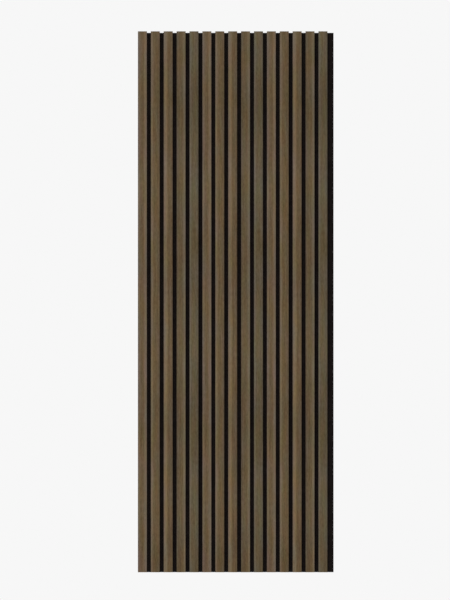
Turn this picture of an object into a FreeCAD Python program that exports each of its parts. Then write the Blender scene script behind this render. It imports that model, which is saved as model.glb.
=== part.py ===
import FreeCAD, Part
import math
import os
import Sketcher

# Acoustic slat wall panel, in millimetres.
# Veneered slats stand side by side on a board of pressed felt and are stapled to it from behind.
# X runs across the panel, Z up the slats, and the front of the slats faces -Y.
# The origin is the middle of the felt's back face, which goes against the wall.

# Driving dimensions: alias, value and what it measures.
SIZES = (
    ("slat_count", 15, "slats side by side"),
    ("slat_length", 1678.0, "length of a slat, top to bottom"),
    ("slat_width", 28.0, "width of a slat over its veneer"),
    ("slat_depth", 12.0, "depth of a slat over its veneer"),
    ("slat_gap", 12.0, "open groove between two slats"),
    ("core_round", 0.5, "rounding of the core's two front edges"),
    ("veneer", 0.6, "thickness of the wrapped veneer"),
    ("felt_thickness", 9.0, "thickness of the felt board"),
    ("felt_overhang", 19.0, "felt that shows past the last slat, on the right"),
    ("felt_set_back", 4.5, "how far the slats stand above the felt at the top"),
    ("staple_rows", 6, "staples along each slat"),
    ("staple_end_distance", 60.0, "first and last staple from the ends of the felt"),
    ("staple_crown", 11.0, "width of a staple over its legs"),
    ("staple_length", 16.0, "length of a staple from crown to point"),
    ("wire_width", 1.25, "width of the staple wire, up the panel"),
    ("wire_thickness", 1.0, "thickness of the staple wire"),
    ("point_bevel", 1.2, "length of the chisel point of a leg"),
    ("crown_sink", 0.5, "how far a staple's crown lies below the felt's back"),
)

# Sizes that follow from the driving dimensions, as expressions for the document.
SLATS = "round(Sizes.slat_count)"
ROWS = "round(Sizes.staple_rows)"
PITCH = "(Sizes.slat_width + Sizes.slat_gap)"
FELT_WIDTH = f"({SLATS} * {PITCH} - Sizes.slat_gap + Sizes.felt_overhang)"
FELT_HEIGHT = "(Sizes.slat_length - Sizes.felt_set_back)"
FIRST_SLAT_X = f"(Sizes.slat_width / 2 - {FELT_WIDTH} / 2)"
BOTTOM_Z = f"(-{FELT_HEIGHT} / 2)"
ROW_STEP = f"(({FELT_HEIGHT} - 2 * Sizes.staple_end_distance) / ({ROWS} - 1))"
LEG_IN_CORE = "(Sizes.staple_length + Sizes.crown_sink - Sizes.felt_thickness)"
CROWN_SEAT = "(Sizes.crown_sink + Sizes.wire_thickness)"
LEG_INSIDE = "(Sizes.staple_crown - 2 * Sizes.wire_thickness)"

doc = FreeCAD.newDocument("slat_wall_panel")
sheet = doc.addObject("Spreadsheet::Sheet", "Sizes")
for row, (alias, value, meaning) in enumerate(SIZES, start=1):
    sheet.set(f"A{row}", meaning)
    sheet.set(f"B{row}", str(value))
    sheet.setAlias(f"B{row}", alias)
doc.recompute()


def point(x, y):
    """A point of a sketch."""
    return FreeCAD.Vector(x, y, 0)


def new_body(label):
    """An empty body whose label names its file."""
    body = doc.addObject("PartDesign::Body", label)
    body.Label = label
    return body


def origin_feature(body, role):
    """One of the body's own origin planes or axes."""
    return next(f for f in body.Origin.OriginFeatures if f.Role == role)


def new_sketch(body, name, plane):
    """A sketch on one of the body's origin planes."""
    sketch = body.newObject("Sketcher::SketchObject", name)
    sketch.AttachmentSupport = [(origin_feature(body, plane), "")]
    sketch.MapMode = "FlatFace"
    return sketch


def bind(sketch, constraint, name, expression):
    """Adds a constraint and binds its value to an expression."""
    index = sketch.addConstraint(constraint)
    sketch.renameConstraint(index, name)
    sketch.setExpression(f"Constraints.{name}", expression)


def chain_lines(sketch, corners, closed=True):
    """Straight edges through the corners, end to end, and their indices."""
    ends = corners[1:] + corners[:1] if closed else corners[1:]
    edges = []
    for start, end in zip(corners, ends):
        edges.append(sketch.addGeometry(Part.LineSegment(point(*start), point(*end)), False))
    following = edges[1:] + edges[:1] if closed else edges[1:]
    for edge, other in zip(edges, following):
        sketch.addConstraint(Sketcher.Constraint("Coincident", edge, 2, other, 1))
    return edges


def draw_box(sketch, name, middle_x, middle_y, width, height):
    """A rectangle whose middle and sizes are expressions in the sheet's dimensions."""
    corners = [(-1.0, -1.0), (1.0, -1.0), (1.0, 1.0), (-1.0, 1.0)]
    bottom, right, top, left = chain_lines(sketch, corners)
    for edge in (bottom, top):
        sketch.addConstraint(Sketcher.Constraint("Horizontal", edge))
    for edge in (left, right):
        sketch.addConstraint(Sketcher.Constraint("Vertical", edge))
    rule = Sketcher.Constraint
    bind(sketch, rule("DistanceX", bottom, 1, bottom, 2, 2.0), f"{name}_width", width)
    bind(sketch, rule("DistanceY", right, 1, right, 2, 2.0), f"{name}_height", height)
    bind(sketch, rule("DistanceX", -1, 1, bottom, 1, -1.0), f"{name}_x", f"{middle_x} - {width} / 2")
    bind(sketch, rule("DistanceY", -1, 1, bottom, 1, -1.0), f"{name}_y", f"{middle_y} - {height} / 2")


def draw_wrap(sketch, name, width, depth, radius):
    """Side, round edge, front, round edge and side of a slat, open at the felt."""
    half = sheet.evalExpression(width) / 2
    deep = sheet.evalExpression(depth)
    turn = sheet.evalExpression(radius)
    inner = half - turn
    right = Part.LineSegment(point(half, 0), point(half, turn - deep))
    front = Part.LineSegment(point(inner, -deep), point(-inner, -deep))
    left = Part.LineSegment(point(-half, turn - deep), point(-half, 0))
    up = FreeCAD.Vector(0, 0, 1)
    right_circle = Part.Circle(point(inner, turn - deep), up, turn)
    left_circle = Part.Circle(point(-inner, turn - deep), up, turn)
    right_round = Part.ArcOfCircle(right_circle, -math.pi / 2, 0)
    left_round = Part.ArcOfCircle(left_circle, -math.pi, -math.pi / 2)
    edges = [sketch.addGeometry(g, False) for g in (right, right_round, front, left_round, left)]
    right, right_round, front, left_round, left = edges
    rule = Sketcher.Constraint
    for joint in (
        (right, 2, right_round, 2),
        (right_round, 1, front, 1),
        (front, 2, left_round, 2),
        (left_round, 1, left, 1),
    ):
        sketch.addConstraint(rule("Tangent", *joint))
    sketch.addConstraint(rule("Horizontal", front))
    sketch.addConstraint(rule("PointOnObject", right, 1, -1))
    sketch.addConstraint(rule("Symmetric", right, 1, left, 2, -2))
    sketch.addConstraint(rule("Vertical", right))
    sketch.addConstraint(rule("Vertical", left))
    sketch.addConstraint(rule("Equal", right_round, left_round))
    bind(sketch, rule("DistanceX", left, 2, right, 1, 2 * half), f"{name}_width", width)
    bind(sketch, rule("DistanceY", front, 1, right, 1, deep), f"{name}_depth", depth)
    bind(sketch, rule("Radius", right_round, turn), f"{name}_radius", radius)
    return right, left


def join_ends(sketch, first, second):
    """A straight edge between two (edge, end) places that lie on the felt's face."""
    places = [sketch.getPoint(*place) for place in (first, second)]
    edge = sketch.addGeometry(Part.LineSegment(*places), False)
    sketch.addConstraint(Sketcher.Constraint("Coincident", edge, 1, *first))
    sketch.addConstraint(Sketcher.Constraint("Coincident", edge, 2, *second))


def pad_slat_length(body, sketch):
    """Runs a slat's section along the whole slat."""
    pad = body.newObject("PartDesign::Pad", "slat_run")
    pad.Profile = sketch
    pad.setExpression("Length", "Sizes.slat_length")
    return pad


def place_slat(body, index):
    """Stands a slat on the felt's front face, flush with the felt's bottom."""
    body.setExpression("Placement.Base.x", f"{FIRST_SLAT_X} + {index} * {PITCH}")
    body.setExpression("Placement.Base.y", "-Sizes.felt_thickness")
    body.setExpression("Placement.Base.z", BOTTOM_Z)


def repeat(body, cut, name, directions):
    """Repeats one feature along one or two of the body's axes, as (axis, count, step) rows."""
    doc.recompute()
    pattern = body.newObject("PartDesign::LinearPattern", name)
    pattern.Originals = [cut]
    for suffix, (axis, count, step) in zip(("", "2"), directions):
        setattr(pattern, f"Direction{suffix}", (origin_feature(body, axis), [""]))
        setattr(pattern, f"Mode{suffix}", "Spacing")
        # A spacing of minus one takes the pattern's common step.
        setattr(pattern, f"Spacings{suffix}", [-1.0])
        pattern.setExpression(f"Occurrences{suffix}", count)
        pattern.setExpression(f"Offset{suffix}", step)
    body.Tip = pattern
    return pattern


def cut_from_back(body, name, sketch, depth):
    """A pocket that starts on the XZ plane and goes towards the front."""
    pocket = body.newObject("PartDesign::Pocket", name)
    pocket.Profile = sketch
    pocket.Reversed = True
    pocket.setExpression("Length", depth)
    return pocket


def draw_leg_slots(sketch, middle_x, middle_z):
    """The two slots that a staple's legs fill, one each side of its middle."""
    offset = f"{LEG_INSIDE} / 2 + Sizes.wire_thickness / 2"
    for side, sign in (("left", "-"), ("right", "+")):
        middle = f"{middle_x} {sign} ({offset})"
        draw_box(sketch, side, middle, middle_z, "Sizes.wire_thickness", "Sizes.wire_width")


def make_slat_core(index):
    """The fibreboard bar inside a slat, with blind slots where the staples hold it."""
    body = new_body(f"slat_core_{index + 1:02d}")
    section = new_sketch(body, "core_section", "XY_Plane")
    right, left = draw_wrap(
        section,
        "core",
        "Sizes.slat_width - 2 * Sizes.veneer",
        "Sizes.slat_depth - Sizes.veneer",
        "Sizes.core_round",
    )
    join_ends(section, (right, 1), (left, 2))
    pad_slat_length(body, section)
    doc.recompute()
    slots = new_sketch(body, "leg_slots", "XZ_Plane")
    draw_leg_slots(slots, "0", "Sizes.staple_end_distance")
    pocket = cut_from_back(body, "leg_pocket", slots, LEG_IN_CORE)
    repeat(body, pocket, "slot_rows", [("Z_Axis", ROWS, ROW_STEP)])
    place_slat(body, index)
    return body


def make_slat_veneer(index):
    """The leaf of veneer that wraps a slat's front and both sides, folded round its edges."""
    body = new_body(f"slat_veneer_{index + 1:02d}")
    section = new_sketch(body, "veneer_section", "XY_Plane")
    outer_right, outer_left = draw_wrap(
        section, "outer", "Sizes.slat_width", "Sizes.slat_depth", "Sizes.core_round + Sizes.veneer"
    )
    inner_right, inner_left = draw_wrap(
        section,
        "inner",
        "Sizes.slat_width - 2 * Sizes.veneer",
        "Sizes.slat_depth - Sizes.veneer",
        "Sizes.core_round",
    )
    join_ends(section, (outer_right, 1), (inner_right, 1))
    join_ends(section, (outer_left, 2), (inner_left, 2))
    pad_slat_length(body, section)
    place_slat(body, index)
    return body


def make_felt():
    """The felt board, with a seat and two leg holes for each staple."""
    body = new_body("felt_backing")
    outline = new_sketch(body, "board_outline", "XZ_Plane")
    draw_box(outline, "board", "0", "0", FELT_WIDTH, FELT_HEIGHT)
    pad = body.newObject("PartDesign::Pad", "board")
    pad.Profile = outline
    pad.setExpression("Length", "Sizes.felt_thickness")
    doc.recompute()
    first_row = f"{BOTTOM_Z} + Sizes.staple_end_distance"
    seat = new_sketch(body, "crown_seat", "XZ_Plane")
    draw_box(seat, "crown", FIRST_SLAT_X, first_row, "Sizes.staple_crown", "Sizes.wire_width")
    seat_cut = cut_from_back(body, "crown_pocket", seat, CROWN_SEAT)
    across = ("X_Axis", SLATS, PITCH)
    upwards = ("Z_Axis", ROWS, ROW_STEP)
    repeat(body, seat_cut, "seats", [across, upwards])
    slots = new_sketch(body, "leg_holes", "XZ_Plane")
    draw_leg_slots(slots, FIRST_SLAT_X, first_row)
    leg_cut = cut_from_back(body, "leg_pocket", slots, "Sizes.felt_thickness")
    repeat(body, leg_cut, "holes", [across, upwards])
    return body


def make_staples():
    """All the staples, each a flat wire bent twice, with chisel points."""
    body = new_body("back_staples")
    body.AllowCompound = True
    profile = new_sketch(body, "staple_profile", "XY_Plane")
    half = sheet.get("staple_crown") / 2
    wire = sheet.get("wire_thickness")
    long = sheet.get("staple_length")
    bevel = sheet.get("point_bevel")
    sink = sheet.get("crown_sink")
    corners = [
        (-half, 0.0),
        (half, 0.0),
        (half, -long + bevel),
        (half - wire, -long),
        (half - wire, -wire),
        (wire - half, -wire),
        (wire - half, -long),
        (-half, -long + bevel),
    ]
    edges = chain_lines(profile, corners)
    crown, right, right_point, right_in, inside, left_in, left_point, left = edges
    rule = Sketcher.Constraint
    for edge in (right, right_in, left_in, left):
        profile.addConstraint(rule("Vertical", edge))
    profile.addConstraint(rule("Symmetric", crown, 1, crown, 2, -2))
    profile.addConstraint(rule("Symmetric", inside, 1, inside, 2, -2))
    profile.addConstraint(rule("Equal", right, left))
    profile.addConstraint(rule("Equal", right_in, left_in))
    bind(profile, rule("DistanceX", crown, 1, crown, 2, 2 * half), "crown_width", "Sizes.staple_crown")
    bind(profile, rule("DistanceX", inside, 2, inside, 1, 2 * (half - wire)), "leg_inside", LEG_INSIDE)
    bind(profile, rule("DistanceY", inside, 1, crown, 2, wire), "thickness", "Sizes.wire_thickness")
    bind(profile, rule("DistanceY", right_in, 1, crown, 2, long), "length", "Sizes.staple_length")
    bind(profile, rule("DistanceY", right_in, 1, right, 2, bevel), "bevel", "Sizes.point_bevel")
    bind(profile, rule("DistanceY", crown, 2, -1, 1, sink), "sink", "Sizes.crown_sink")
    pad = body.newObject("PartDesign::Pad", "wire")
    pad.Profile = profile
    pad.Midplane = True
    pad.setExpression("Length", "Sizes.wire_width")
    doc.recompute()
    repeat(body, pad, "staple_grid", [("X_Axis", SLATS, PITCH), ("Z_Axis", ROWS, ROW_STEP)])
    body.setExpression("Placement.Base.x", FIRST_SLAT_X)
    body.setExpression("Placement.Base.z", f"{BOTTOM_Z} + Sizes.staple_end_distance")
    return body


pieces = [make_felt(), make_staples()]
for slat in range(round(sheet.get("slat_count"))):
    pieces.append(make_slat_core(slat))
    pieces.append(make_slat_veneer(slat))
doc.recompute()

for item in doc.Objects:
    if {"Invalid", "Error"} & set(item.State):
        raise RuntimeError(f"{item.Label} did not build: {item.State}")
for piece in pieces:
    if piece.Shape.isNull() or not piece.Shape.isValid():
        raise RuntimeError(f"{piece.Label} has no valid shape")

os.makedirs("parts", exist_ok=True)
for piece in pieces:
    piece.Shape.exportStep(os.path.join("parts", f"{piece.Label}.step"))
    print(piece.Label, len(piece.Shape.Solids), round(piece.Shape.Volume, 1))
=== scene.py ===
import bpy
import numpy as np
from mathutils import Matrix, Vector


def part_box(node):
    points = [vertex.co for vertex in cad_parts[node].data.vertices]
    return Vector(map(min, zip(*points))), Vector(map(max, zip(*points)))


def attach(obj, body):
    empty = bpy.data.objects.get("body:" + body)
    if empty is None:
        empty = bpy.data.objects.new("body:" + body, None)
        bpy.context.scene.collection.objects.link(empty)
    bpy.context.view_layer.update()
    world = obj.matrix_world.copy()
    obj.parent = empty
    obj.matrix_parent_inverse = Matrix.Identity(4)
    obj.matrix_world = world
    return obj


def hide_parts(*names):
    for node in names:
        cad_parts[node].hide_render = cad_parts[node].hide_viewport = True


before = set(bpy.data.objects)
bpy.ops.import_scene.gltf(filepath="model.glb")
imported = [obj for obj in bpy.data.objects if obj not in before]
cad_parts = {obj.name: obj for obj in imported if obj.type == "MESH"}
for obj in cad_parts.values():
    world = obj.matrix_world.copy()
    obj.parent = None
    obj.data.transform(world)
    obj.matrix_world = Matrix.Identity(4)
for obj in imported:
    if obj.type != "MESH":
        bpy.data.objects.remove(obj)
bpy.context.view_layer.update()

# Felt board.
# Black polyester fibres needled and pressed into a firm board, then cut square with a knife.
# It is the panel's back: the slats lie on it, and their staples pull small dents into its back.
slat_count = 15
slat_boxes = np.array([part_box(f"slat_veneer_{index:02d}") for index in range(1, slat_count + 1)])
slat_centres = slat_boxes[:, :, 0].mean(axis=1)
felt_low, felt_high = np.array(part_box("felt_backing"))
felt_depth = felt_high[1] - felt_low[1]
felt_edge_round = 0.0005
felt_wave = 0.00012
felt_back_wave_length = 0.055
felt_front_wave_length = 0.045
felt_cut_wave = 0.00002
felt_cut_wave_length = 0.120
staple_rows = 6
staple_end_distance = 0.060
first_row, last_row = felt_low[2] + staple_end_distance, felt_high[2] - staple_end_distance
staple_row_heights = np.linspace(first_row, last_row, staple_rows)
staple_half_width = 0.0055
felt_dent_depth = 0.0011
felt_dent_reach = 0.0019
# Grid lines aside of and above the middle of every crown, close enough to carry its dent, and the
# widest gaps between lines elsewhere.
dent_lines_aside = (0.0, 0.003, 0.0054, 0.0061, 0.007)
dent_lines_above = (0.0, 0.0005, 0.0011, 0.0019, 0.003, 0.0046)
felt_gap_across = 0.009
felt_gap_up = 0.020
felt_black = (0.0046, 0.0034, 0.0031, 1.0)
# The fibres' paler colour is a painted highlight, where light would catch them.
felt_fibre_highlight = (0.0240, 0.0178, 0.0162, 1.0)
# Blobs of noise in a metre, along each axis: three tangles of fibres, the clumps that they mat
# into, and a slow mottle. A fibre is drawn where a tangle comes this near to its middle value.
felt_tangles = (520.0, 760.0, 1100.0)
felt_fibre_reach = 0.026
felt_clump_blobs = (330.0, 330.0, 330.0)
felt_mottle_blobs = (45.0, 45.0, 45.0)
# The ranges that hold nearly all, and most, of the values of any noise.
wide_range = (0.3, 0.7)
narrow_range = (0.35, 0.65)


def soft_waves(x, z, length, seed):
    """Heights between -1 and 1: twelve sine waves, 0.6 to 1.5 times the length, which run in
    random directions from random starts, are added, divided by the square root of twice their
    number, and held in that range."""
    waves = np.random.default_rng(seed).uniform(0.0, 1.0, (12, 3))
    total = np.zeros(np.broadcast(x, z).shape)
    for heading, start, size in waves:
        turn = 2.0 * np.pi * heading
        pace = 2.0 * np.pi / (length * (0.6 + 0.9 * size))
        total += np.sin(pace * (x * np.cos(turn) + z * np.sin(turn)) + 2.0 * np.pi * start)
    return np.clip(total / np.sqrt(2.0 * len(waves)), -1.0, 1.0)


def staple_dents(x, z):
    """Depth of the dents: full under a staple's crown, and falling off as a bell curve with the
    distance from the nearest crown, which is a straight line across the slat."""
    aside = np.abs(x[..., None] - slat_centres).min(axis=-1)
    above = np.abs(z[..., None] - staple_row_heights).min(axis=-1)
    past_end = np.maximum(aside - staple_half_width, 0.0)
    return felt_dent_depth * np.exp(-(past_end**2 + above**2) / felt_dent_reach**2)


def lines_between(low, high, wanted, gap):
    """Grid lines from low to high: the wanted ones, and even ones in between wherever two
    neighbours are further apart than the gap."""
    marks = np.unique(np.round(np.clip(np.append(wanted, (low, high)), low, high), 6))
    steps = np.maximum(np.ceil(np.diff(marks) / gap).astype(int), 1)
    parts = [np.linspace(a, b, n, endpoint=False) for a, b, n in zip(marks, marks[1:], steps)]
    return np.append(np.concatenate(parts), high)


def grid_quads(rows, columns, joined=False):
    """Four-sided faces between the points of a grid stored row by row. They face the way of the
    cross product of a step to the next row and a step to the next column. A joined grid also
    closes from its last column to its first."""
    across = np.arange(columns if joined else columns - 1)
    first = np.arange(rows - 1)[:, None] * columns
    here = (first + across).ravel()
    beside = (first + (across + 1) % columns).ravel()
    return np.stack([here, here + columns, beside + columns, beside], axis=1)


def new_piece(name, points, face_groups):
    """A mesh object at the origin from an array of points and groups of faces, each of which
    lists its points anticlockwise as seen from outside."""
    mesh = bpy.data.meshes.new(name)
    faces = [face.tolist() for group in face_groups for face in group]
    mesh.from_pydata(points.tolist(), [], faces)
    mesh.validate()
    piece = bpy.data.objects.new(name, mesh)
    bpy.context.scene.collection.objects.link(piece)
    return piece


def felt_lines():
    """The board's grid lines, across and up: inside its rounded edges, at the slats' edges and
    round every crown, with even ones in between."""
    low, high = felt_low + felt_edge_round, felt_high - felt_edge_round
    aside = np.outer((-1, 1), dent_lines_aside).ravel()
    above = np.outer((-1, 1), dent_lines_above).ravel()
    round_crowns = (slat_centres[:, None] + aside).ravel()
    round_rows = (staple_row_heights[:, None] + above).ravel()
    wanted_across = np.append(round_crowns, slat_boxes[:, :, 0])
    xs = lines_between(low[0], high[0], wanted_across, felt_gap_across)
    zs = lines_between(low[2], high[2], round_rows, felt_gap_up)
    return xs, zs


def cut_edge_rings(rim, outward):
    """Rings down the cut edge, from the rim of the back to that of the front: they follow a
    quarter circle out, run straight down, and follow a quarter circle in again. Each waves a
    little by itself, as a knife does in felt."""
    bend = np.radians([30.0, 60.0, 90.0])
    bend_out = felt_edge_round * np.sin(bend)
    bend_down = felt_edge_round * (1.0 - np.cos(bend))
    straight_down = felt_depth * np.array([0.3, 0.5, 0.7])
    straight_out = np.full(len(straight_down), felt_edge_round)
    ring_out = np.concatenate([bend_out, straight_out, bend_out[::-1]])
    ring_down = np.concatenate([bend_down, straight_down, felt_depth - bend_down[::-1]])
    rings = []
    for number, (out, down) in enumerate(zip(ring_out, ring_down)):
        wave = soft_waves(rim[:, 0], rim[:, 2], felt_cut_wave_length, seed=20 + number)
        ring = rim + outward * (out - felt_cut_wave * (1.0 + wave))[:, None]
        ring[:, 1] = felt_high[1] - down
        rings.append(ring)
    return rings


def felt_board():
    """Two height fields over one grid of lines, the back and the front, which the rings of the
    cut edge join round their border."""
    xs, zs = felt_lines()
    z, x = np.meshgrid(zs, xs, indexing="ij")
    back_wave = felt_wave * (1.0 + soft_waves(x, z, felt_back_wave_length, seed=3))
    front_wave = felt_wave * (1.0 + soft_waves(x, z, felt_front_wave_length, seed=4))
    back_y = felt_high[1] - back_wave - staple_dents(x, z)
    front_y = felt_low[1] + front_wave
    back, front = (np.stack([x, y, z], axis=-1).reshape(-1, 3) for y in (back_y, front_y))

    number = np.arange(x.size).reshape(x.shape)
    border = np.concatenate([number[0, :-1], number[:-1, -1], number[-1, :0:-1], number[:0:-1, 0]])
    rim = back[border]
    at_side = np.isin(rim[:, 0], xs[[0, -1]]) * np.sign(rim[:, 0])
    at_end = np.isin(rim[:, 2], zs[[0, -1]]) * np.sign(rim[:, 2])
    rings = cut_edge_rings(rim, np.stack([at_side, np.zeros(len(rim)), at_end], axis=1))

    ring_numbers = len(back) + len(front) + np.arange(len(rings) * len(rim))
    ring_numbers = ring_numbers.reshape(-1, len(rim))
    loops = np.concatenate([border[None], ring_numbers, len(back) + border[None]])
    after = np.roll(loops, -1, axis=1)
    edge_faces = np.stack([loops[:-1], after[:-1], after[1:], loops[1:]], axis=-1).reshape(-1, 4)
    back_faces = grid_quads(*x.shape)
    front_faces = back_faces[:, ::-1] + len(back)
    points = np.concatenate([back, front, *rings])
    return new_piece("felt_board", points, [back_faces, front_faces, edge_faces])


def new_finish(name, **plain):
    """A finish whose sockets hold the plain values, and its surface node, ready for patterns."""
    finish = bpy.data.materials.new(name)
    finish.use_nodes = True
    surface = finish.node_tree.nodes["Principled BSDF"]
    for socket, value in plain.items():
        surface.inputs[socket.replace("_", " ")].default_value = value
    return finish, surface


def step(finish, kind, inputs, **settings):
    """One node of a finish: its settings are set, and each input takes a socket or a value."""
    node = finish.node_tree.nodes.new(kind)
    for setting, value in settings.items():
        setattr(node, setting, value)
    for socket, value in inputs.items():
        if isinstance(value, bpy.types.NodeSocket):
            finish.node_tree.links.new(value, node.inputs[socket])
        else:
            node.inputs[socket].default_value = value
    return node


def streaks(finish, place, blobs, detail, distortion=0.0):
    """A noise with so many blobs in a metre: the place is multiplied by them, axis by axis."""
    spread = step(finish, "ShaderNodeVectorMath", {0: place, 1: blobs}, operation="MULTIPLY")
    noise = step(
        finish,
        "ShaderNodeTexNoise",
        {"Vector": spread.outputs[0], "Scale": 1.0, "Detail": detail, "Distortion": distortion},
    )
    return noise.outputs[0]


def between(finish, value, low, high, to_low=0.0, to_high=1.0):
    """A value's range from low to high, stretched to another range and held within it."""
    node = step(
        finish,
        "ShaderNodeMapRange",
        {"Value": value, "From Min": low, "From Max": high, "To Min": to_low, "To Max": to_high},
    )
    return node.outputs["Result"]


def sums(finish, operation, first, second=0.0):
    """One step of arithmetic on one or two values."""
    return step(finish, "ShaderNodeMath", {0: first, 1: second}, operation=operation).outputs[0]


def blend_colours(finish, factor, first, second, kind="MIX"):
    """The first colour, and over it the second by a factor, mixed or multiplied in."""
    node = step(
        finish,
        "ShaderNodeMix",
        {0: factor, 6: first, 7: second},
        data_type="RGBA",
        blend_type=kind,
    )
    return node.outputs[2]


def felt_finish():
    """Black felt: tangled fibres drawn where any of three noises crosses its middle, paler than
    the mass below them as a painted highlight and standing out in the bump, over a slow mottle."""
    finish, surface = new_finish(
        "black_felt",
        Roughness=1.0,
        Specular_IOR_Level=0.04,
        Sheen_Weight=0.05,
        Sheen_Roughness=0.6,
        Sheen_Tint=(0.30, 0.29, 0.29, 1.0),
    )
    place = step(finish, "ShaderNodeTexCoord", {}).outputs["Object"]
    fibres = 0.0
    for tangle in felt_tangles:
        field = streaks(finish, place, (tangle, tangle, tangle), detail=2.5, distortion=0.8)
        from_middle = sums(finish, "ABSOLUTE", sums(finish, "SUBTRACT", field, 0.5))
        fibre = between(finish, from_middle, 0.0, felt_fibre_reach, to_low=1.0, to_high=0.0)
        fibres = sums(finish, "MAXIMUM", fibres, fibre)
    matted = streaks(finish, place, felt_clump_blobs, detail=2.0)
    clumps = between(finish, matted, *narrow_range, to_low=0.35, to_high=1.0)
    # The fibres and their clumps are real relief. Their paler colour is a painted highlight.
    paler = sums(finish, "MULTIPLY", fibres, clumps)
    base = blend_colours(finish, paler, felt_black, felt_fibre_highlight)
    mottle = streaks(finish, place, felt_mottle_blobs, detail=4.0)
    shade = between(finish, mottle, *wide_range, to_low=0.80, to_high=1.20)
    base = blend_colours(finish, 1.0, base, shade, "MULTIPLY")
    finish.node_tree.links.new(base, surface.inputs["Base Color"])
    relief = sums(finish, "ADD", fibres, clumps)
    bump = step(finish, "ShaderNodeBump", {"Height": relief, "Strength": 0.6, "Distance": 0.0003})
    finish.node_tree.links.new(bump.outputs[0], surface.inputs["Normal"])
    return finish


felt = felt_board()
felt.data.materials.append(felt_finish())
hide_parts("felt_backing")
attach(felt, "root")

# Slat cores.
# Brown fibreboard ripped into bars, with their two front edges eased before the veneer goes on.
# They are glued and stapled to the felt; only their sawn ends stay in sight.
core_edge_round = 0.0005
core_end_ease = 0.00015
# Steps along a side, across the front and round an edge, and the rings on a sawn face, each a
# share of the section's size.
core_steps = (5, 10, 2)
core_face_rings = (0.02, 0.35, 0.7)
board_brown = (0.205, 0.132, 0.078, 1.0)
board_pale = (0.36, 0.26, 0.165, 1.0)
board_dark = (0.10, 0.062, 0.036, 1.0)
board_fibre_blobs = (1500.0, 2600.0, 1500.0)
board_fleck_blobs = (420.0, 900.0, 420.0)
board_saw_blobs = (900.0, 60.0, 60.0)
board_fibre_range = (0.32, 0.68)
board_fleck_range = (0.60, 0.74)


def wrap_path(width, depth, radius, side_steps, front_steps, turn_steps):
    """Path round three sides of a slat, from the felt on its right to the felt on its left:
    straight down the side, a quarter circle, straight across the front, a quarter circle, and
    straight back. The middle of the slat's back is at zero."""
    half = width / 2.0
    turn = np.linspace(0.0, np.pi / 2.0, turn_steps + 1)
    side_y = np.linspace(0.0, radius - depth, side_steps + 1)[:-1]
    side = np.stack([np.full(side_steps, half), side_y], axis=1)
    bend_x = half - radius * (1.0 - np.cos(turn))
    bend_y = radius - depth - radius * np.sin(turn)
    right = np.concatenate([side, np.stack([bend_x, bend_y], axis=1)])
    front_x = np.linspace(half - radius, radius - half, front_steps + 1)[1:-1]
    front = np.stack([front_x, np.full(front_steps - 1, -depth)], axis=1)
    return np.concatenate([right, front, right[::-1] * (-1.0, 1.0)])


def core_bar(index):
    """A bar: the wrap's path, closed across its back, is carried up the slat. At each sawn end the
    section is eased in a little, and then shrinks in rings to the middle of the face."""
    low, high = np.array(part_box(f"slat_core_{index:02d}"))
    width, depth, _ = high - low
    section = wrap_path(width, depth, core_edge_round, *core_steps)
    middle = np.array([0.0, -depth / 2.0])
    scales = np.array([*core_face_rings, 1.0 - 2.0 * core_end_ease / depth, 1.0])
    rises = np.append(np.zeros(len(scales) - 1), core_end_ease)
    heights = np.concatenate([low[2] + rises, high[2] - rises[::-1]])
    scales = np.concatenate([scales, scales[::-1]])
    rings = middle + (section - middle) * scales[:, None, None]
    z = np.broadcast_to(heights[:, None], rings.shape[:2])
    x, y = rings[..., 0] + slat_centres[index - 1], rings[..., 1] + high[1]
    points = np.stack([x, y, z], axis=-1).reshape(-1, 3)
    first_ring = np.arange(len(section))
    last_ring = first_ring + (len(heights) - 1) * len(section)
    skin = grid_quads(len(heights), len(section), joined=True)
    return new_piece(f"core_bar_{index:02d}", points, [skin, [first_ring], [last_ring[::-1]]])


def fibreboard_finish():
    """Sawn fibreboard: short pale and dark fibres as fine noise, flattened from front to back,
    with larger dark flecks, and faint ripples of the saw across the end."""
    finish, surface = new_finish("sawn_fibreboard", Roughness=0.9, Specular_IOR_Level=0.15)
    place = step(finish, "ShaderNodeTexCoord", {}).outputs["Object"]
    fibres = streaks(finish, place, board_fibre_blobs, detail=5.0, distortion=0.4)
    flecks = streaks(finish, place, board_fleck_blobs, detail=3.0, distortion=0.8)
    ripple = streaks(finish, place, board_saw_blobs, detail=1.0)
    tone = between(finish, fibres, *board_fibre_range)
    base = blend_colours(finish, tone, board_brown, board_pale)
    dark = between(finish, flecks, *board_fleck_range)
    base = blend_colours(finish, dark, base, board_dark)
    finish.node_tree.links.new(base, surface.inputs["Base Color"])
    relief = sums(finish, "ADD", fibres, sums(finish, "MULTIPLY", ripple, 0.6))
    bump = step(finish, "ShaderNodeBump", {"Height": relief, "Strength": 0.5, "Distance": 0.0002})
    finish.node_tree.links.new(bump.outputs[0], surface.inputs["Normal"])
    return finish


fibreboard = fibreboard_finish()
for index in range(1, slat_count + 1):
    core = core_bar(index)
    core.data.materials.append(fibreboard)
    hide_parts(f"slat_core_{index:02d}")
    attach(core, "root")

# Slat veneers.
# Smoked oak sliced 0.6 mm thin, folded round the front and both sides of each core, and finished
# with a matt lacquer. Leaves from five blocks of wood are used in turn, so slats repeat by fives.
veneer_thickness = 0.0006
veneer_edge_round = core_edge_round + veneer_thickness
veneer_end_ease = 0.00020
veneer_steps = (6, 28, 5)
veneer_rows = 60
slat_face = slat_boxes[0, 1, 0] - slat_boxes[0, 0, 0]
# The wood's colours at the two ends of its tone. Bands lie between tones of 0 and 1, so the grain
# has room on both sides of them.
veneer_tones = (-0.5, 1.5)
veneer_darkest = np.array([0.0576, 0.0303, 0.0063, 1.0])
veneer_palest = np.array([0.1842, 0.1322, 0.0688, 1.0])
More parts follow.
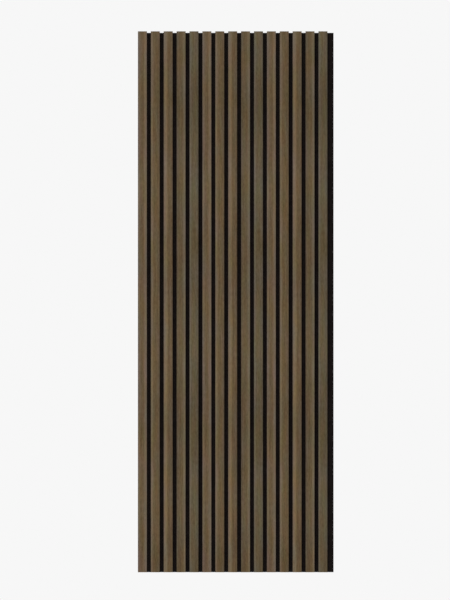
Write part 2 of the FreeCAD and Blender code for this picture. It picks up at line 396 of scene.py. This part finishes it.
# Each leaf's tint, how far its tone swings on the way up, and its bands: millimetres from the left
# edge of the face, and tone.
veneer_leaves = {
    "leaf_a": (
        (1.03, 0.995, 0.99),
        0.10,
        ((0, 0.78), (4, 0.70), (7, 0.32), (12, 0.23), (17.5, 0.18), (20, 0.76), (28, 0.85)),
    ),
    "leaf_b": (
        (1.01, 0.99, 0.87),
        0.09,
        ((0, 0.94), (5, 0.90), (7.5, 0.30), (14, 0.13), (17, 0.20), (23, 0.14), (28, 0.00)),
    ),
    "leaf_c": (
        (1.03, 0.995, 0.93),
        0.13,
        ((0, 0.90), (4, 0.99), (9, 0.99), (11.5, 0.56), (13.5, 0.12), (22, 0.14), (28, 0.00)),
    ),
    "leaf_d": (
        (0.957, 0.978, 0.925),
        0.11,
        ((0, 0.13), (8, 0.12), (14, 0.15), (19, 0.28), (21.5, 0.60), (23.5, 0.82), (28, 0.82)),
    ),
    "leaf_e": (
        (0.92, 1.015, 1.04),
        0.16,
        ((0, 0.66), (4.5, 0.54), (6.5, 0.13), (12, 0.16), (18, 0.14), (23, 0.14), (28, 0.00)),
    ),
}
# Leaves sliced from one block after another show nearly the same grain: how far apart the grains
# of two kinds lie, and how little it moves on from one leaf to the next of its kind.
leaf_kinds = len(veneer_leaves)
leaf_kind_shift = 2.37
leaf_next_shift = 0.004
# How far a slow noise pushes the bands aside, and where all kinds turn paler: at one height, and
# again at every wave length from it.
wander_blobs = (8.0, 1.2, 1.0)
wander_reach = 0.0008
pale_height = 0.368
pale_wave_length = 0.484
# The grain, from broad to fine: blobs in a metre of the leaf, across and up, detail, and swing.
veneer_grain = (
    ((60.0, 5.0, 1.0), 2.0, 0.12),
    ((210.0, 9.0, 1.0), 2.0, 0.23),
    ((280.0, 75.0, 1.0), 2.0, 0.25),
    ((1400.0, 12.0, 1.0), 4.0, 0.31),
    ((4200.0, 70.0, 1.0), 2.0, 0.14),
)
# Growth rings, cut nearly square to the leaf: how many lie in a metre, how many of them the drift
# can pass, the share of a ring that is early wood, and the swing there and at the ring's end.
rings_in_a_metre = 560.0
ring_drift = 9.0
ring_drift_blobs = (22.0, 1.3, 1.0)
early_wood = 0.5
ring_swings = (0.075, -0.225)
# Tints multiplied into the wood: slow patches, the greyer way out to the edges of the face, and
# the folds, darkened as painted shade where the rounded edge turns from the light.
veneer_flat = (1.0, 1.0, 1.0, 1.0)
veneer_red = (1.068, 0.98, 0.965, 1.0)
veneer_green = (0.942, 1.02, 0.965, 1.0)
hue_blobs = (60.0, 12.5, 1.0)
veneer_gold = (1.025, 1.00, 0.83, 1.0)
veneer_grey = (0.975, 1.00, 1.17, 1.0)
warmth_blobs = (50.0, 10.0, 1.0)
veneer_edge_grey = (0.94, 1.015, 1.42, 1.0)
edge_grey_start = 0.12 * slat_face
# Painted shade: the folds are darkened where the rounded edge turns away from the light.
veneer_fold_painted_shade = (0.76, 0.76, 0.77, 1.0)
fold_shade_reach = 0.0022
# Open pores: dashes where a fine noise is this high, helped or held back where another one crowds
# or spreads them.
veneer_pore = (0.48, 0.44, 0.40, 1.0)
pore_blobs = (3300.0, 130.0, 1.0)
pore_range = (0.61, 0.70)
pore_crowd_blobs = (420.0, 6.0, 1.0)
pore_crowd_range = (0.4, 0.6)
pore_crowding = (-0.05, 0.03)
# How a leaf shares out its second map. The outside and the inside lie side by side, each a start
# and a length, above the cut ends; the cut sides lie at the right. Cut strips have a start, a step
# to the second strip and a width.
outside_across = (0.006, 0.888)
inside_across = (0.905, 0.060)
faces_up = (0.050, 0.945)
cut_sides = (0.972, 0.014, 0.008)
cut_ends = (0.004, 0.022, 0.014)


def veneer_leaf(index):
    """A folded leaf: the wrap's path and the same path 0.6 mm further in make one thin closed
    section, which is carried up the slat. The two sawn ends are eased and closed by a strip."""
    low, high = np.array(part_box(f"slat_veneer_{index:02d}"))
    width, depth, _ = high - low
    core_width, core_depth = width - 2.0 * veneer_thickness, depth - veneer_thickness
    outer = wrap_path(width, depth, veneer_edge_round, *veneer_steps)
    inner = wrap_path(core_width, core_depth, core_edge_round, *veneer_steps)
    eased = outer + (inner - outer) * (veneer_end_ease / veneer_thickness)
    heights = np.linspace(low[2] + veneer_end_ease, high[2] - veneer_end_ease, veneer_rows)
    heights = np.concatenate([low[2:], heights, high[2:]])
    sections = np.tile(np.concatenate([outer, inner[::-1]]), (len(heights), 1, 1))
    sections[[0, -1], : len(outer)] = eased
    z = np.broadcast_to(heights[:, None], sections.shape[:2])
    x, y = sections[..., 0] + slat_centres[index - 1], sections[..., 1] + high[1]
    points = np.stack([x, y, z], axis=-1).reshape(-1, 3)
    columns = 2 * len(outer)
    skin = grid_quads(len(heights), columns, joined=True)
    here = np.arange(len(outer) - 1)
    bottom = np.stack([here, here + 1, columns - 2 - here, columns - 1 - here], axis=1)
    top = bottom[:, ::-1] + (len(heights) - 1) * columns
    piece = new_piece(f"veneer_leaf_{index:02d}", points, [skin, bottom, top])
    map_leaf(piece, index, outer, heights)
    return piece


def map_leaf(piece, index, outer, heights):
    """Two maps. One holds the place on the flat leaf: metres across from the middle of the front,
    and metres up, moved on by kind so that no two kinds' grains match. The other lays the outside,
    the glued inside and the cut edges side by side, so that most of it goes to the outside."""
    walked = np.append(0.0, np.cumsum(np.linalg.norm(np.diff(outer, axis=0), axis=1)))
    corners = np.zeros(len(piece.data.loops), dtype=np.int64)
    piece.data.loops.foreach_get("vertex_index", corners)
    row, column = np.divmod(corners, 2 * len(outer))
    is_outer = column < len(outer)
    along = np.where(is_outer, column, 2 * len(outer) - 1 - column)
    share = walked[along] / walked[-1]
    repeat, kind = divmod(index - 1, leaf_kinds)
    start = leaf_kind_shift * (kind + 1) + leaf_next_shift * repeat
    leaf = np.stack([walked[-1] * (0.5 - share), heights[row] + start], axis=1)

    by_face = (-1, 4)
    outer_corners = is_outer.reshape(by_face).sum(axis=1)
    one_row = np.ptp(row.reshape(by_face), axis=1) == 0
    inside = np.repeat(outer_corners == 0, 4)
    cut_end = np.repeat(one_row, 4)
    cut_side = np.repeat((outer_corners == 2) & ~one_row, 4)
    rise = (heights[row] - heights[0]) / (heights[-1] - heights[0])
    inside_u = inside_across[0] + inside_across[1] * share
    outside_u = outside_across[0] + outside_across[1] * share
    side_u = cut_sides[0] + cut_sides[1] * (along > 0) + cut_sides[2] * ~is_outer
    end_v = cut_ends[0] + cut_ends[1] * (row > 0) + cut_ends[2] * ~is_outer
    u = np.select([inside, cut_side], [inside_u, side_u], outside_u)
    v = np.where(cut_end, end_v, faces_up[0] + faces_up[1] * rise)
    for name, places in (("leaf", leaf), ("OFBake", np.stack([u, v], axis=1))):
        layer = piece.data.uv_layers.new(name=name, do_init=False)
        layer.uv.foreach_set("vector", places.astype(np.float32).ravel())


def leaf_bands(finish, place, across, bands):
    """The bands as a ramp from the left edge of the face to the right one. A slow noise pushes
    them aside a little on the way up."""
    wander = streaks(finish, place, wander_blobs, detail=2.0)
    aside = between(finish, wander, *wide_range, -wander_reach, wander_reach)
    pushed = sums(finish, "ADD", across, aside)
    share = between(finish, pushed, -slat_face / 2.0, slat_face / 2.0)
    ramp = step(finish, "ShaderNodeValToRGB", {0: share})
    while len(ramp.color_ramp.elements) < len(bands):
        ramp.color_ramp.elements.new(0.5)
    for stop, (millimetres, tone) in zip(ramp.color_ramp.elements, bands):
        stop.position = millimetres / 1000.0 / slat_face
        stop.color = (tone, tone, tone, 1.0)
    return ramp.outputs[0]


def pale_wave(finish, swing_up):
    """A cosine of the height, by which all slats turn paler and darker together."""
    place = step(finish, "ShaderNodeTexCoord", {}).outputs["Object"]
    height = step(finish, "ShaderNodeSeparateXYZ", {0: place}).outputs[2]
    turn = sums(finish, "SUBTRACT", height, pale_height)
    turn = sums(finish, "MULTIPLY", turn, 2.0 * np.pi / pale_wave_length)
    return sums(finish, "MULTIPLY", sums(finish, "COSINE", turn), swing_up)


def growth_rings(finish, place, across):
    """The fraction of a count that grows across the leaf and drifts with a slow noise: each ring
    is pale over its early wood, and darkens from there to its end."""
    count = sums(finish, "MULTIPLY", across, rings_in_a_metre)
    drift = streaks(finish, place, ring_drift_blobs, detail=2.0)
    count = sums(finish, "ADD", count, sums(finish, "MULTIPLY", drift, ring_drift))
    ring = sums(finish, "FRACT", count)
    return between(finish, ring, early_wood, 1.0, *ring_swings)


def tinted(finish, place, across, base):
    """The wood's colour with slow patches that are redder or greener and goldener or greyer. With
    the distance from the middle of the front it turns greyer, and painted shade darkens the middle
    of a fold, which lies an eighth of a circle past the end of the flat face."""
    hue = between(finish, streaks(finish, place, hue_blobs, detail=2.0), *narrow_range)
    warmth = between(finish, streaks(finish, place, warmth_blobs, detail=2.0), *narrow_range)
    from_middle = sums(finish, "ABSOLUTE", across)
    at_edge = between(finish, from_middle, edge_grey_start, slat_face / 2.0)
    flat_end = slat_face / 2.0 - veneer_edge_round
    fold_middle = flat_end + veneer_edge_round * np.pi / 4.0
    from_fold = sums(finish, "ABSOLUTE", sums(finish, "SUBTRACT", from_middle, fold_middle))
    # Painted shade over the middle of each fold, fading out to either side.
    painted_fold_shade = between(finish, from_fold, 0.0, fold_shade_reach, to_low=1.0, to_high=0.0)
    for factor, low, high in (
        (hue, veneer_red, veneer_green),
        (warmth, veneer_gold, veneer_grey),
        (at_edge, veneer_flat, veneer_edge_grey),
        (painted_fold_shade, veneer_flat, veneer_fold_painted_shade),
    ):
        tint = blend_colours(finish, factor, low, high)
        base = blend_colours(finish, 1.0, base, tint, "MULTIPLY")
    return base


def open_pores(finish, place):
    """Short dashes where a fine noise, stretched along the grain, comes near its highest values.
    A second noise is added, so that they crowd in some streaks and are rare in others."""
    crowd = streaks(finish, place, pore_crowd_blobs, detail=2.0)
    crowd = between(finish, crowd, *pore_crowd_range, *pore_crowding)
    dashes = streaks(finish, place, pore_blobs, detail=2.0, distortion=0.3)
    return between(finish, sums(finish, "ADD", dashes, crowd), *pore_range)


def veneer_finish(name, tint, swing_up, bands):
    """Smoked oak under matt lacquer. Its tone is the sum of the leaf's bands, the pale wave up the
    slat, the grain's long thin noises and the growth rings, and runs from the darkest colour to
    the palest. The tints and the dark open pores go over it."""
    finish, surface = new_finish(name, Specular_IOR_Level=0.22)
    place = step(finish, "ShaderNodeUVMap", {}, uv_map="leaf").outputs[0]
    across = step(finish, "ShaderNodeSeparateXYZ", {0: place}).outputs[0]
    tone = leaf_bands(finish, place, across, bands)
    tone = sums(finish, "ADD", tone, pale_wave(finish, swing_up))
    for blobs, detail, swing in veneer_grain:
        grain = streaks(finish, place, blobs, detail)
        tone = sums(finish, "ADD", tone, between(finish, grain, *wide_range, -swing, swing))
    tone = sums(finish, "ADD", tone, growth_rings(finish, place, across))
    share_pale = between(finish, tone, *veneer_tones)
    own_tint = np.append(tint, 1.0)
    base = blend_colours(finish, share_pale, veneer_darkest * own_tint, veneer_palest * own_tint)
    base = tinted(finish, place, across, base)
    pores = open_pores(finish, place)
    darker = blend_colours(finish, 1.0, base, veneer_pore, "MULTIPLY")
    base = blend_colours(finish, pores, base, darker)
    finish.node_tree.links.new(base, surface.inputs["Base Color"])
    # The last and finest grain also varies the lacquer's gloss and, with the pores, its relief.
    rough = between(finish, grain, *wide_range, to_low=0.56, to_high=0.68)
    finish.node_tree.links.new(rough, surface.inputs["Roughness"])
    relief = sums(finish, "SUBTRACT", sums(finish, "MULTIPLY", grain, 0.5), pores)
    bump = step(finish, "ShaderNodeBump", {"Height": relief, "Strength": 0.35, "Distance": 0.00008})
    finish.node_tree.links.new(bump.outputs[0], surface.inputs["Normal"])
    return finish


leaf_finishes = [veneer_finish(name, *kind) for name, kind in veneer_leaves.items()]
for index in range(1, slat_count + 1):
    leaf = veneer_leaf(index)
    leaf.data.materials.append(leaf_finishes[(index - 1) % leaf_kinds])
    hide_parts(f"slat_veneer_{index:02d}")
    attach(leaf, "root")

# Staples.
# Zinc-coated flat wire bent into a U with two round bends and chisel points.
# They are shot through the felt from behind, one across each slat in every row.
staple_wire_width = 0.00125
staple_wire_thickness = 0.0010
staple_wire_corner = 0.00022
staple_length = 0.0160
staple_bend = 0.0006
staple_bend_steps = 5
staple_sink = 0.0005
# Length of a chisel point, and the share of the wire's thickness that is left at its tip.
staple_point = 0.0012
staple_tip = 0.12
# How far the stapler's aim is off: a slope, and metres across the panel, through it and up it.
staple_tilt = 0.035
staple_slide = 0.0005
staple_slide_shares = (1.0, 0.2, 1.0)
zinc = (0.50, 0.51, 0.52, 1.0)
zinc_cloud_blobs = (900.0, 900.0, 900.0)
zinc_line_blobs = (150.0, 6000.0, 6000.0)
zinc_sum_range = (0.7, 1.3)


def one_staple():
    """Flat wire carried along a U: up one leg, a quarter circle, along the crown, a quarter
    circle, and down the other leg. The section is a rectangle with cut corners, and at the points
    it narrows to its inner face like a chisel. Returns its points, its skin and its two ends."""
    half = staple_half_width - staple_wire_thickness / 2.0
    radius = staple_bend + staple_wire_thickness / 2.0
    reach = staple_length - staple_wire_thickness / 2.0
    turn = np.linspace(0.0, np.pi / 2.0, staple_bend_steps + 1)
    leg = np.array([[-half, -reach], [-half, staple_point - reach], [-half, -2.0 * radius]])
    bend = np.stack([-half + radius * (1.0 - np.cos(turn)), radius * (np.sin(turn) - 1.0)], axis=1)
    left = np.concatenate([leg, bend])
    path = np.concatenate([left, left[::-1] * (-1.0, 1.0)])
    run = np.gradient(path, axis=0)
    run /= np.linalg.norm(run, axis=1, keepdims=True)
    outward = np.stack([-run[:, 1], run[:, 0]], axis=1)

    thick, wide = staple_wire_thickness / 2.0, staple_wire_width / 2.0
    quarter = np.array([[thick - staple_wire_corner, wide], [thick, wide - staple_wire_corner]])
    half_section = np.concatenate([quarter, quarter[::-1] * (1.0, -1.0)])
    section = np.concatenate([half_section, half_section[::-1] * (-1.0, 1.0)])
    thickness = np.tile(section[:, 0], (len(path), 1))
    thickness[[0, -1]] = (section[:, 0] + thick) * staple_tip - thick
    flat = path[:, None] + outward[:, None] * thickness[..., None]
    aside = np.broadcast_to(section[:, 1], thickness.shape)
    crown = felt_high[1] - staple_sink - thick
    points = np.stack([flat[..., 0], crown + flat[..., 1], aside], axis=-1).reshape(-1, 3)
    skin = grid_quads(len(path), len(section), joined=True)
    first_ring = np.arange(len(section))
    caps = np.stack([first_ring, first_ring[::-1] + len(points) - len(section)])
    return points, skin, caps


def staple_group():
    """One staple repeated on the grid of slats and rows, each a little tilted and out of place."""
    staple, skin, caps = one_staple()
    x, z = np.meshgrid(slat_centres, staple_row_heights)
    places = np.stack([x, np.zeros_like(x), z], axis=-1).reshape(-1, 1, 3)
    rng = np.random.default_rng(11)
    tilt = rng.uniform(-staple_tilt, staple_tilt, (len(places), 1))
    slide = rng.uniform(-staple_slide, staple_slide, places.shape) * staple_slide_shares
    every = staple + places + slide
    every[..., 2] += staple[:, 0] * tilt
    first = np.arange(len(places))[:, None, None] * len(staple)
    groups = [(faces + first).reshape(-1, faces.shape[1]) for faces in (skin, caps)]
    return new_piece("staples", every.reshape(-1, 3), groups)


def zinc_finish():
    """Zinc-coated wire: a dull bright grey with fine drawn lines along X and a cloudy coat."""
    finish, surface = new_finish("zinc_wire", Metallic=1.0)
    place = step(finish, "ShaderNodeTexCoord", {}).outputs["Object"]
    cloud = streaks(finish, place, zinc_cloud_blobs, detail=3.0)
    drawn = streaks(finish, place, zinc_line_blobs, detail=2.0)
    both = sums(finish, "ADD", cloud, drawn)
    shade = between(finish, both, *zinc_sum_range, to_low=0.72, to_high=1.10)
    base = blend_colours(finish, 1.0, zinc, shade, "MULTIPLY")
    finish.node_tree.links.new(base, surface.inputs["Base Color"])
    rough = between(finish, cloud, *narrow_range, to_low=0.30, to_high=0.48)
    finish.node_tree.links.new(rough, surface.inputs["Roughness"])
    return finish


staples = staple_group()
staples.data.materials.append(zinc_finish())
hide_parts("back_staples")
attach(staples, "root")

# Floor, backdrop and light.
# A pale floor well below the panel, which fades into a plain pale backdrop.
# Even studio light comes from all round, with one soft lamp in front and one behind.
backdrop_pale = 0.9301
even_light = 0.46
floor_pale = (0.86, 0.86, 0.86, 1.0)
floor_drop = 0.32
# How far the floor and its middle face reach, and where it starts to turn clear and is all clear.
floor_reach = 2.6
floor_middle = 0.05
floor_fade = (0.9, floor_reach - 0.1)
lamp_size = 3.0
front_lamp_place = (-1.0, -5.9, 0.2)
front_lamp_power = 180.0
back_lamp_place = (2.2, 5.2, 2.4)
back_lamp_power = 190.0


def pale_backdrop():
    """The world: camera, glossy and clear rays see the pale backdrop, and other rays get the even
    light."""
    world = bpy.data.worlds.new("studio")
    bpy.context.scene.world = world
    world.use_nodes = True
    seen = step(world, "ShaderNodeLightPath", {}).outputs
    either = sums(world, "MAXIMUM", seen["Is Camera Ray"], seen["Is Glossy Ray"])
    any_of = sums(world, "MAXIMUM", either, seen["Is Transmission Ray"])
    strength = between(world, any_of, 0.0, 1.0, even_light, backdrop_pale)
    background = world.node_tree.nodes["Background"]
    background.inputs["Color"].default_value = (1.0, 1.0, 1.0, 1.0)
    world.node_tree.links.new(strength, background.inputs["Strength"])


def floor_finish():
    """Matt and pale, turning clear with the distance from the middle, so that no edge shows."""
    finish, surface = new_finish(
        "pale_floor", Base_Color=floor_pale, Roughness=1.0, Specular_IOR_Level=0.0
    )
    place = step(finish, "ShaderNodeTexCoord", {}).outputs["Object"]
    level = {0: place, 1: (1.0, 1.0, 0.0)}
    flat_place = step(finish, "ShaderNodeVectorMath", level, operation="MULTIPLY").outputs[0]
    distance = step(finish, "ShaderNodeVectorMath", {0: flat_place}, operation="LENGTH")
    fade = between(finish, distance.outputs["Value"], *floor_fade)
    clear = step(finish, "ShaderNodeBsdfTransparent", {}).outputs[0]
    mixed = step(finish, "ShaderNodeMixShader", {0: fade, 1: surface.outputs[0], 2: clear})
    output = finish.node_tree.nodes["Material Output"]
    finish.node_tree.links.new(mixed.outputs[0], output.inputs["Surface"])
    return finish


def pale_floor():
    """A round floor of rings that grow evenly from a small middle face."""
    ring_count, spokes = 16, 64
    angle = np.linspace(0.0, 2.0 * np.pi, spokes, endpoint=False)
    radii = np.linspace(floor_middle, floor_reach, ring_count)
    flat = radii[:, None, None] * np.stack([np.cos(angle), np.sin(angle)], axis=-1)
    heights = np.full((ring_count, spokes, 1), felt_low[2] - floor_drop)
    points = np.concatenate([flat, heights], axis=-1).reshape(-1, 3)
    rings = grid_quads(ring_count, spokes, joined=True)
    floor = new_piece("floor", points, [rings, [np.arange(spokes)]])
    floor.data.materials.append(floor_finish())


def soft_lamp(name, place, power):
    """A square lamp at a place, turned to face the middle of the panel."""
    data = bpy.data.lights.new(name, "AREA")
    data.size = lamp_size
    data.energy = power
    lamp = bpy.data.objects.new(name, data)
    bpy.context.scene.collection.objects.link(lamp)
    lamp.location = place
    lamp.rotation_euler = (-Vector(place)).to_track_quat("-Z", "Y").to_euler()


pale_backdrop()
pale_floor()
soft_lamp("front_lamp", front_lamp_place, front_lamp_power)
soft_lamp("back_lamp", back_lamp_place, back_lamp_power)

# Camera.
# A very long lens straight in front of the panel, level, and a little to the left of its middle,
# as the photograph is taken.
camera_aside = -0.0333
camera_up = 0.0078
# The sensor lies along the picture's longer side, which is its height.
camera_lens = 600.0
camera_sensor = 36.0
# The photograph is 600 pixels high, and its slats lie 12.886 pixels apart. The camera stands a
# hair nearer than that gives, because here the soft edge pixels make dark parts look narrower.
photo_rows = 600
slat_pitch_pixels = 12.896
slat_pitch = np.ptp(slat_centres) / (slat_count - 1)
photo_height = photo_rows * slat_pitch / slat_pitch_pixels
camera_distance = camera_lens / camera_sensor * photo_height
camera_data = bpy.data.cameras.new("camera")
camera_data.lens = camera_lens
camera_data.sensor_width = camera_sensor
camera_data.clip_end = 100.0
camera = bpy.data.objects.new("camera", camera_data)
bpy.context.scene.collection.objects.link(camera)
camera.location = (camera_aside, slat_boxes[0, 0, 1] - camera_distance, camera_up)
camera.rotation_euler = (np.pi / 2.0, 0.0, 0.0)
bpy.context.scene.camera = camera
bpy.context.scene.view_settings.view_transform = "Standard"
